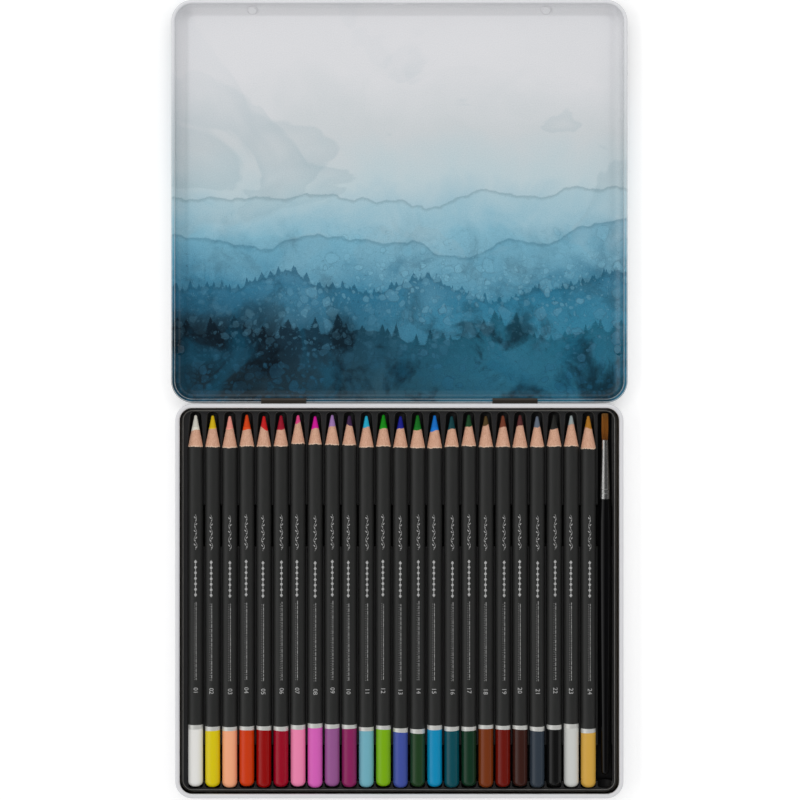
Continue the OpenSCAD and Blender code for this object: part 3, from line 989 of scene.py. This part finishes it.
@dataclass
class BrushHair:
    """The tuft: fine strands that fill the ferrule's mouth, swell and end blunt."""

    axis: Axis
    mouth: float
    count: int = 1500
    root_r: float = 1.26
    belly_r: float = 1.55
    tip_r: float = 1.5
    thick: float = 0.04
    rooted: float = 1.0
    stations: int = 8

    def strands(self) -> tuple[np.ndarray, list[list[int]]]:
        """Points and faces of all strands.

        A strand stands at a place of a golden spiral that fills a disc. The
        disc's radius runs along the tuft as a sine swell from root to belly,
        eased to the tip. Round each station lie three corners, and the last
        station is a point's width. A slow sine bends each strand a little.

        Returns:
            Vertex places and faces.
        """
        rng = np.random.default_rng(7)
        number = np.arange(self.count)
        share = np.sqrt((number + 0.5) / self.count)
        turn = number * GOLDEN_ANGLE
        t = np.linspace(0.0, 1.0, self.stations)[None, :]
        short = 0.03 * share[:, None] ** 4 + 0.03 * rng.random((self.count, 1)) ** 2
        part = t * (1.0 - short)
        swell = np.where(part < 0.5, np.sin(np.pi * part),
                         1.0 - (1.0 - (self.tip_r - self.root_r)
                                / (self.belly_r - self.root_r)) * ((part - 0.5) / 0.5) ** 2)
        radius = (self.root_r + (self.belly_r - self.root_r) * swell) * share[:, None]
        start = self.mouth - self.rooted
        y = start + part * (self.axis.front - start)
        sway = 0.03 * np.sin(3.0 * part * np.pi + rng.random((self.count, 1)) * 6.28) * part
        angle = turn[:, None] + sway
        middle = np.stack([self.axis.x + radius * np.cos(angle), y,
                           self.axis.z + radius * np.sin(angle)], axis=-1)
        corner = np.radians([0.0, 120.0, 240.0])[None, None, :] + turn[:, None, None]
        width = (self.thick * np.minimum(1.0, 2.6 * (1.0 - t) + 0.25))[:, :, None]
        ring = np.stack([width * np.cos(corner), np.zeros_like(corner + width),
                         width * np.sin(corner)], axis=-1)
        points = (middle[:, :, None, :] + ring).reshape(-1, 3)
        first = (number[:, None] * self.stations + np.arange(self.stations - 1)[None, :]) * 3
        return points, between_rings(first, first + 3, 3)

    def build(self) -> Object:
        """Makes the tuft, dresses it and puts it in the CAD hair's place.

        Returns:
            The piece.
        """
        hair = mesh_object("brush_tuft", *self.strands(),
                           HairFinish(self.mouth, self.axis.front).material())
        close(hair.data, sides=3)
        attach(hair, "brush")
        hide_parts("brush_hair")
        return hair


@dataclass
class FlangeBead:
    """The fine raised bead round the tray's flange, just inside its rounded edge."""

    low: np.ndarray
    high: np.ndarray
    corner: float
    inset: float = 1.0
    half_width: float = 0.2
    height: float = 0.15
    sunk: float = 0.03
    steps: int = 10
    sides: int = 8

    def rings(self) -> tuple[np.ndarray, list[list[int]]]:
        """Points and faces of the bead.

        Round each corner the path is c + r (cos a, sin a), where c is the
        middle of the tray's own corner arc and a turns a quarter. Round the
        path runs the ellipse r + w cos b outward and h sin b up.

        Returns:
            Vertex places and faces.
        """
        a = (np.arange(4)[:, None] * (np.pi / 2)
             + np.linspace(0.0, np.pi / 2, self.steps)[None, :]).reshape(-1, 1)
        side_x = np.repeat([1.0, -1.0, -1.0, 1.0], self.steps)[:, None]
        side_y = np.repeat([1.0, 1.0, -1.0, -1.0], self.steps)[:, None]
        b = np.linspace(0.0, 2 * np.pi, self.sides, endpoint=False)[None, :]
        middle = (self.low + self.high) / 2
        reach = (self.high - self.low) / 2 - self.corner
        radius = self.corner - self.inset + self.half_width * np.cos(b)
        points = np.stack([middle[0] + side_x * reach[0] + radius * np.cos(a),
                           middle[1] + side_y * reach[1] + radius * np.sin(a),
                           self.high[2] - self.sunk + self.height * np.sin(b) + 0.0 * a],
                          axis=-1).reshape(-1, 3)
        first = np.arange(4 * self.steps) * self.sides
        return points, between_rings(first, np.roll(first, -1), self.sides)

    def build(self, material: Material) -> Object:
        """Makes the bead in the tray's own plastic.

        Args:
            material: What it is made of.

        Returns:
            The piece.
        """
        bead = mesh_object("tray_bead", *self.rings(), material)
        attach(bead, "tray")
        return bead


class Mark(Enum):
    """Forms of a stamped mark, each the power of its rounded outline."""

    LOZENGE = 1.0
    OVAL = 2.0
    BAR = 6.0


@dataclass
class Imprint:
    """Foil stamped along a barrel: a sprig, beads, a dashed line and a number."""

    name: str
    axis: Axis
    number: int
    radius: float
    roll: float
    proud: float = 0.02
    sunk: float = 0.02
    sides: int = 12
    dash_span: Pair = (50.5, 86.5)
    bead_span: Pair = (90.5, 106.0)
    sprig_span: Pair = (112.0, 128.0)
    number_at: float = 45.5
    number_height: float = 2.1
    font_ratio: float = 1.4
    longest_edge: float = 0.3
    bars: int = 26
    turns: int = 5
    lozenges: int = 7
    dots: int = 34
    rows: list[tuple[float, ...]] = field(default_factory=list)

    def add(self, form: Mark, along: float, across: float, half_length: float,
            half_width: float, tilt: float = 0.0) -> None:
        """Adds one mark at a distance from the dipped end."""
        self.rows.append((along, across, half_length, half_width, form.value, tilt))

    def sprig(self) -> None:
        """A wavy stem of short bars with a leaf at each turn."""
        start, end = self.sprig_span
        for along in np.linspace(start, end, self.bars):
            part = (along - start) / (end - start)
            fade = 1.0 - 0.5 * part
            swing = 0.75 * math.sin(part * self.turns * math.pi) * fade
            slope = math.atan(0.7 * math.cos(part * self.turns * math.pi) * fade)
            self.add(Mark.BAR, along, swing, 0.36, 0.07, slope)
        for turn in range(self.turns):
            along = start + (turn + 0.5) * (end - start) / self.turns
            side = 1.0 if turn % 2 == 0 else -1.0
            self.add(Mark.OVAL, along + 0.5, -0.35 * side, 0.62, 0.22, -0.7 * side)
            self.add(Mark.OVAL, along - 0.7, 0.2 * side, 0.42, 0.16, 0.8 * side)

    def beads(self) -> None:
        """Lozenges with a dot between each two."""
        for i, along in enumerate(np.linspace(*self.bead_span, 2 * self.lozenges - 1)):
            if i % 2 == 0:
                self.add(Mark.LOZENGE, along, 0.0, 1.0, 0.72)
            else:
                self.add(Mark.OVAL, along, 0.0, 0.24, 0.24)

    def dashes(self) -> None:
        """Two fine lines, one of dashes and one of dots."""
        rng = np.random.default_rng(40 + self.number)
        start, end = self.dash_span
        along = start
        while along < end:
            half = float(rng.choice([0.22, 0.5, 0.9]))
            self.add(Mark.BAR, along + half, 0.28, half, 0.13)
            along += 2.0 * half + 0.42
        for along in np.linspace(start + 0.2, end - 0.2, self.dots):
            self.add(Mark.OVAL, along, -0.5, 0.13, 0.13)

    def wrapped(self, flat: np.ndarray) -> np.ndarray:
        """Rolls a flat stamp round the barrel.

        The flat place (along, across, height) turns to an angle of across
        over the radius, at the barrel's radius plus the height.

        Args:
            flat: Flat places, as the last part of an array.

        Returns:
            The places on the barrel.
        """
        angle = flat[..., 1] / self.radius + self.roll
        far = self.radius + flat[..., 2]
        return np.stack([self.axis.x + far * np.sin(angle), self.axis.back + flat[..., 0],
                         self.axis.z + far * np.cos(angle)], axis=-1)

    def outlines(self) -> tuple[np.ndarray, list[list[int]]]:
        """Thin closed plates for all marks.

        Each outline is the rounded form where |u / a| to the power p plus
        |v / b| to the power p is 1, turned by its tilt, as one ring above
        the lacquer and one ring just under it, each with a middle point.

        Returns:
            Points and faces.
        """
        rows = np.array(self.rows)[:, :, None]
        along, across, half_a, half_b, power, tilt = (rows[:, i] for i in range(6))
        t = np.arange(self.sides)[None, :] * 2.0 * np.pi / self.sides
        u = half_a * np.sign(np.cos(t)) * np.abs(np.cos(t)) ** (2.0 / power)
        v = half_b * np.sign(np.sin(t)) * np.abs(np.sin(t)) ** (2.0 / power)
        flat_u = along + u * np.cos(tilt) - v * np.sin(tilt)
        flat_v = across + u * np.sin(tilt) + v * np.cos(tilt)
        ring = np.stack([flat_u, flat_v, 0.0 * flat_u], axis=-1)
        tip = np.stack([along, across, 0.0 * along], axis=-1)
        down, up = (np.array([0.0, 0.0, level]) for level in (-self.sunk, self.proud))
        points = self.wrapped(np.concatenate([ring + down, ring + up, tip + up, tip + down],
                                             axis=1))
        n = self.sides
        base = np.arange(len(self.rows)) * (2 * n + 2)
        faces = (fans(base + n, base + 2 * n, n) + fans(base, base + 2 * n + 1, n)
                 + between_rings(base + n, base, n))
        return points.reshape(-1, 3), faces

    def numeral(self) -> bpy.types.Mesh:
        """The pencil's number as a thin closed mesh, wrapped on the barrel.

        Returns:
            The mesh.
        """
        curve = bpy.data.curves.new("numeral", "FONT")
        curve.body = f"{self.number:02d}"
        curve.size = self.number_height * self.font_ratio
        curve.extrude = self.proud
        curve.resolution_u = 3
        curve.align_x = curve.align_y = "CENTER"
        holder = placed("numeral", curve)
        bpy.context.view_layer.update()
        solid = bpy.data.meshes.new_from_object(
            holder.evaluated_get(bpy.context.evaluated_depsgraph_get()))
        bpy.data.objects.remove(holder)
        fine = bmesh.new()
        fine.from_mesh(solid)
        bmesh.ops.remove_doubles(fine, verts=fine.verts, dist=0.0005)
        bmesh.ops.triangulate(fine, faces=fine.faces)
        longer = [edge for edge in fine.edges if edge.calc_length() > self.longest_edge]
        bmesh.ops.subdivide_edges(fine, edges=longer, cuts=2)
        bmesh.ops.triangulate(fine, faces=fine.faces)
        fine.to_mesh(solid)
        fine.free()
        places = np.empty(len(solid.vertices) * 3)
        solid.vertices.foreach_get("co", places)
        places = places.reshape(-1, 3)
        flat = np.stack([self.number_at - places[:, 0], places[:, 1], places[:, 2]], axis=-1)
        solid.vertices.foreach_set("co", (self.wrapped(flat) * MM).ravel())
        solid.update()
        return solid

    def build(self, material: Material) -> Object:
        """Makes the whole stamp as one piece that rides on its pencil.

        Args:
            material: What it is made of.

        Returns:
            The piece.
        """
        self.dashes()
        self.beads()
        self.sprig()
        piece = mesh_object(f"{self.name}_foil", *self.outlines(), material, smooth=False)
        close(piece.data, self.numeral())
        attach(piece, self.name)
        return piece


# Sub-assemblies


@dataclass(frozen=True)
class PencilLook:
    """How one pencil is colored, and where its ring and its lacquer end."""

    name: str
    dip: Rgb
    lead: Rgb
    ring_at: float
    paint_end: float
    lead_at: float
    slant: float = 0.3


PENCILS = tuple(PencilLook(*row) for row in (
    ("white", (230, 229, 225), (225, 222, 210), 27.3, 160.1, 167.7, 0.5),
    ("yellow", (218, 198, 10), (225, 190, 10), 26.7, 160.2, 168.8),
    ("peach", (243, 170, 130), (245, 160, 145), 26.8, 160.1, 169.0),
    ("orange", (205, 65, 30), (225, 75, 20), 26.5, 160.2, 167.9),
    ("red", (150, 20, 15), (215, 40, 40), 27.2, 160.7, 169.5, -1.3),
    ("crimson", (155, 25, 45), (165, 25, 50), 26.7, 160.5, 168.4),
    ("pink", (238, 135, 175), (235, 80, 140), 27.3, 161.5, 171.4, 0.6),
    ("magenta", (215, 100, 185), (225, 30, 165), 28.5, 161.8, 169.1),
    ("lilac", (150, 90, 145), (170, 130, 190), 27.5, 160.9, 169.5),
    ("plum", (140, 45, 95), (75, 50, 85), 27.7, 161.2, 170.2, -0.5),
    ("sky_blue", (115, 175, 190), (45, 180, 215), 26.6, 160.2, 169.6),
    ("light_green", (125, 175, 30), (10, 150, 20), 26.9, 160.2, 168.4),
    ("violet_blue", (70, 85, 160), (35, 40, 150), 26.3, 160.3, 169.2),
    ("dark_green", (45, 70, 45), (15, 120, 40), 25.4, 159.6, 168.1),
    ("cyan_blue", (0, 140, 185), (20, 120, 210), 27.2, 159.6, 167.6, 0.5),
    ("teal", (30, 80, 90), (25, 75, 80), 27.0, 160.7, 168.8),
    ("forest_green", (35, 60, 45), (40, 80, 50), 26.3, 160.3, 169.5),
    ("brown", (120, 60, 35), (95, 75, 45), 27.7, 160.4, 170.7, 0.5),
    ("russet", (110, 35, 30), (130, 70, 50), 27.2, 160.3, 169.5),
    ("umber", (65, 42, 38), (100, 55, 55), 27.0, 159.7, 169.9),
    ("slate", (58, 66, 75), (110, 120, 135), 27.0, 160.6, 169.9),
    ("black", (35, 35, 35), (50, 50, 48), 27.2, 160.2, 168.4),
    ("silver", (205, 206, 202), (165, 175, 175), 28.0, 160.6, 170.7),
    ("gold", (210, 165, 75), (185, 125, 45), 25.9, 159.5, 169.2, -0.4),
))


@dataclass
class Tin:
    """The base pan, the lid and the tray."""

    base_w: float = 210.6
    base_d: float = 185.4
    corner: float = 8.0
    base_h: float = 11.25
    base_edge: float = 1.5
    rim_d: float = 2.1
    tray_play: float = 0.4
    lid_w: float = 212.0
    lid_d: float = 186.8
    lid_corner: float = 8.7
    lid_edge: float = 5.0
    lid_outline: Pair = (215.0, 189.8)
    hinge_y: float = 94.0
    hinge_z: float = 7.6
    wrap_r: float = 1.2

    def build(self) -> None:
        """Dresses the three nodes."""
        base = BaseFinish(Shell(self.base_w, self.base_d, self.corner, self.base_edge),
                          self.base_h - self.rim_d, self.hinge_y, self.hinge_z, self.wrap_r)
        paint_node("base_pan", base.material())
        lid = LidPrint(Shell(self.lid_w, self.lid_d, self.lid_corner, self.lid_edge,
                             2.0 * self.hinge_y), self.lid_outline)
        paint_node("lid", lid.material())
        low, high = (np.array(corner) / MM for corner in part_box("tray"))
        width, depth, _ = (float(side) for side in high - low)
        bead = FlangeBead(low, high, self.corner - self.rim_d - self.tray_play)
        plastic = MouldedPlastic(float(low[0] + high[0]) / 2, width, depth, bead.corner,
                                 float(high[2]), bead.inset).material()
        paint_node("tray", plastic)
        LOG.info("tin: base pan, lid and tray dressed, and %s", bead.build(plastic).name)


@dataclass
class PencilRow:
    """The row of pencils with their finishes and stamps."""

    looks: Sequence[PencilLook] = PENCILS
    seed_step: float = 1.7
    roll_step: float = 2.4
    most_roll: float = 0.12

    def build(self) -> None:
        """Dresses each barrel and lead, and adds each stamp."""
        foil = Foil().material()
        for number, look in enumerate(self.looks, start=1):
            body = f"pencil_{look.name}"
            axis = node_axis(f"{body}_barrel")
            point = Sharpening(look.lead_at, look.slant, self.seed_step * number)
            barrel = BarrelFinish(axis, look.dip, look.lead, look.ring_at, look.paint_end,
                                  point)
            paint_node(f"{body}_barrel", barrel.material())
            paint_node(f"{body}_lead", LeadFinish(axis, look.lead, point).material())
            low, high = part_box(f"{body}_barrel")
            radius = (high[0] - low[0]) / 2 / MM
            roll = self.most_roll * math.sin(self.roll_step * number)
            stamp = Imprint(body, axis, number, radius, roll).build(foil)
            LOG.info("%s: barrel, lead and %s", body, stamp.name)


@dataclass
class Brush:
    """The paint brush."""

    def build(self) -> None:
        """Dresses the handle and the ferrule, and adds the tuft."""
        ferrule = node_axis("brush_ferrule")
        paint_node("brush_handle", HandleLacquer().material())
        paint_node("brush_ferrule", FerruleMetal(ferrule).material())
        hair = node_axis("brush_hair")
        tuft = BrushHair(Axis(ferrule.x, ferrule.z, hair.back, hair.front), ferrule.front)
        piece = tuft.build()
        LOG.info("brush: handle, ferrule and %s of %d strands", piece.name, tuft.count)


@dataclass
class Studio:
    """Camera, lamps, world and floor. Lengths are metres, but for the lens."""

    camera_at: Point = (0.0003, 0.0944, 1.006)
    lens: float = 95.4
    sensor: float = 36.0
    aim_at: Point = (0.0, 0.094, 0.0)
    world_level: float = 0.72
    floor_z: float = -0.0001
    floor_half: float = 3.0
    lamps: tuple[tuple[Any, ...], ...] = (
        ("left", (-0.95, 0.09, 1.15), (1.4, 0.2), 2.9),
        ("back", (0.05, 1.0, 1.25), (1.4, 0.12), 3.6),
        ("right", (1.0, 0.1, 1.15), (1.2, 0.2), 1.3))

    def camera(self) -> None:
        """The camera, straight above the tin."""
        data = bpy.data.cameras.new("camera")
        data.lens = self.lens
        data.sensor_width = self.sensor
        view = placed("camera", data)
        view.location = self.camera_at
        bpy.context.scene.camera = view

    def lamp(self, name: str, place: Point, size: Pair, power: float) -> None:
        """A long soft lamp aimed at the tin's middle, which reflections don't show.

        Args:
            name: Its name.
            place: Where it hangs.
            size: Its two sides.
            power: Its power in watts.
        """
        data = bpy.data.lights.new(name, "AREA")
        data.shape = "RECTANGLE"
        data.size, data.size_y = size
        data.energy = power
        lamp = placed(name, data)
        lamp.location = place
        lamp.visible_glossy = False
        aim = np.array(self.aim_at) - np.array(place)
        lamp.rotation_euler = (math.atan2(math.hypot(aim[0], aim[1]), -aim[2]), 0.0,
                               math.atan2(-aim[0], aim[1]))

    def world(self) -> None:
        """White to the camera; reflections see white walls under a soft, dimmer sky.

        The sky in reflections is brighter on the left than on the right, with
        a white panel low on the left, and is dim straight above, where the
        camera hangs.
        """
        world = bpy.data.worlds.new("studio")
        bpy.context.scene.world = world
        world.use_nodes = True
        shader = Shader.of_world(world)
        path = shader.node("ShaderNodeLightPath")
        mirrored = path.beside("Is Glossy Ray").at_least(path.beside("Is Transmission Ray"))
        way = shader.node("ShaderNodeTexCoord", output="Generated").parts()
        left = way[0].smooth(0.3, -0.15)
        above = way[2].smooth(0.90, 0.98)
        sky = (0.08 + 0.32 * left) * (1.0 - 0.8 * above)
        panel = way[0].smooth(-0.5, -0.7) * 1.1
        walls = ((0.55 + 0.45 * left) * way[2].smooth(0.46, 0.34)).at_least(panel)
        light = self.world_level * (1.0 - mirrored)
        strength = path.at_least((mirrored * sky.at_least(walls)).at_least(light))
        shader.dress(Color=WHITE, Strength=strength)

    def floor(self) -> None:
        """A plain pale floor that lies under the tin."""
        shader = Shader("pale_floor")
        seen = path = shader.node("ShaderNodeLightPath", output="Is Camera Ray")
        for way in ("Is Glossy Ray", "Is Transmission Ray"):
            seen = seen.at_least(path.beside(way))
        material = shader.dress(
            Base_Color=(0.86, 0.86, 0.86, 1.0), Roughness=0.9, Specular_IOR_Level=0.0,
            Emission_Color=shader.mix(seen, BLACK, (0.25, 0.25, 0.25, 1.0)),
            Emission_Strength=1.0)
        grid = np.array([[-1, -1], [1, -1], [1, 1], [-1, 1]]) * self.floor_half
        points = np.column_stack([grid, np.full(4, self.floor_z)]) / MM
        mesh_object("floor", points, [[0, 1, 2, 3]], material)

    def build(self) -> None:
        """Sets the whole studio up."""
        bpy.context.scene.view_settings.view_transform = "Standard"
        self.camera()
        for lamp in self.lamps:
            self.lamp(*lamp)
        self.world()
        self.floor()
        LOG.info("studio: camera, %d lamps, world and floor", len(self.lamps))


def main() -> None:
    """Builds the scene in order."""
    logging.basicConfig(level=logging.INFO)
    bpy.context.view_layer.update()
    Studio().build()
    Tin().build()
    PencilRow().build()
    Brush().build()


if __name__ == "__main__":
    main()
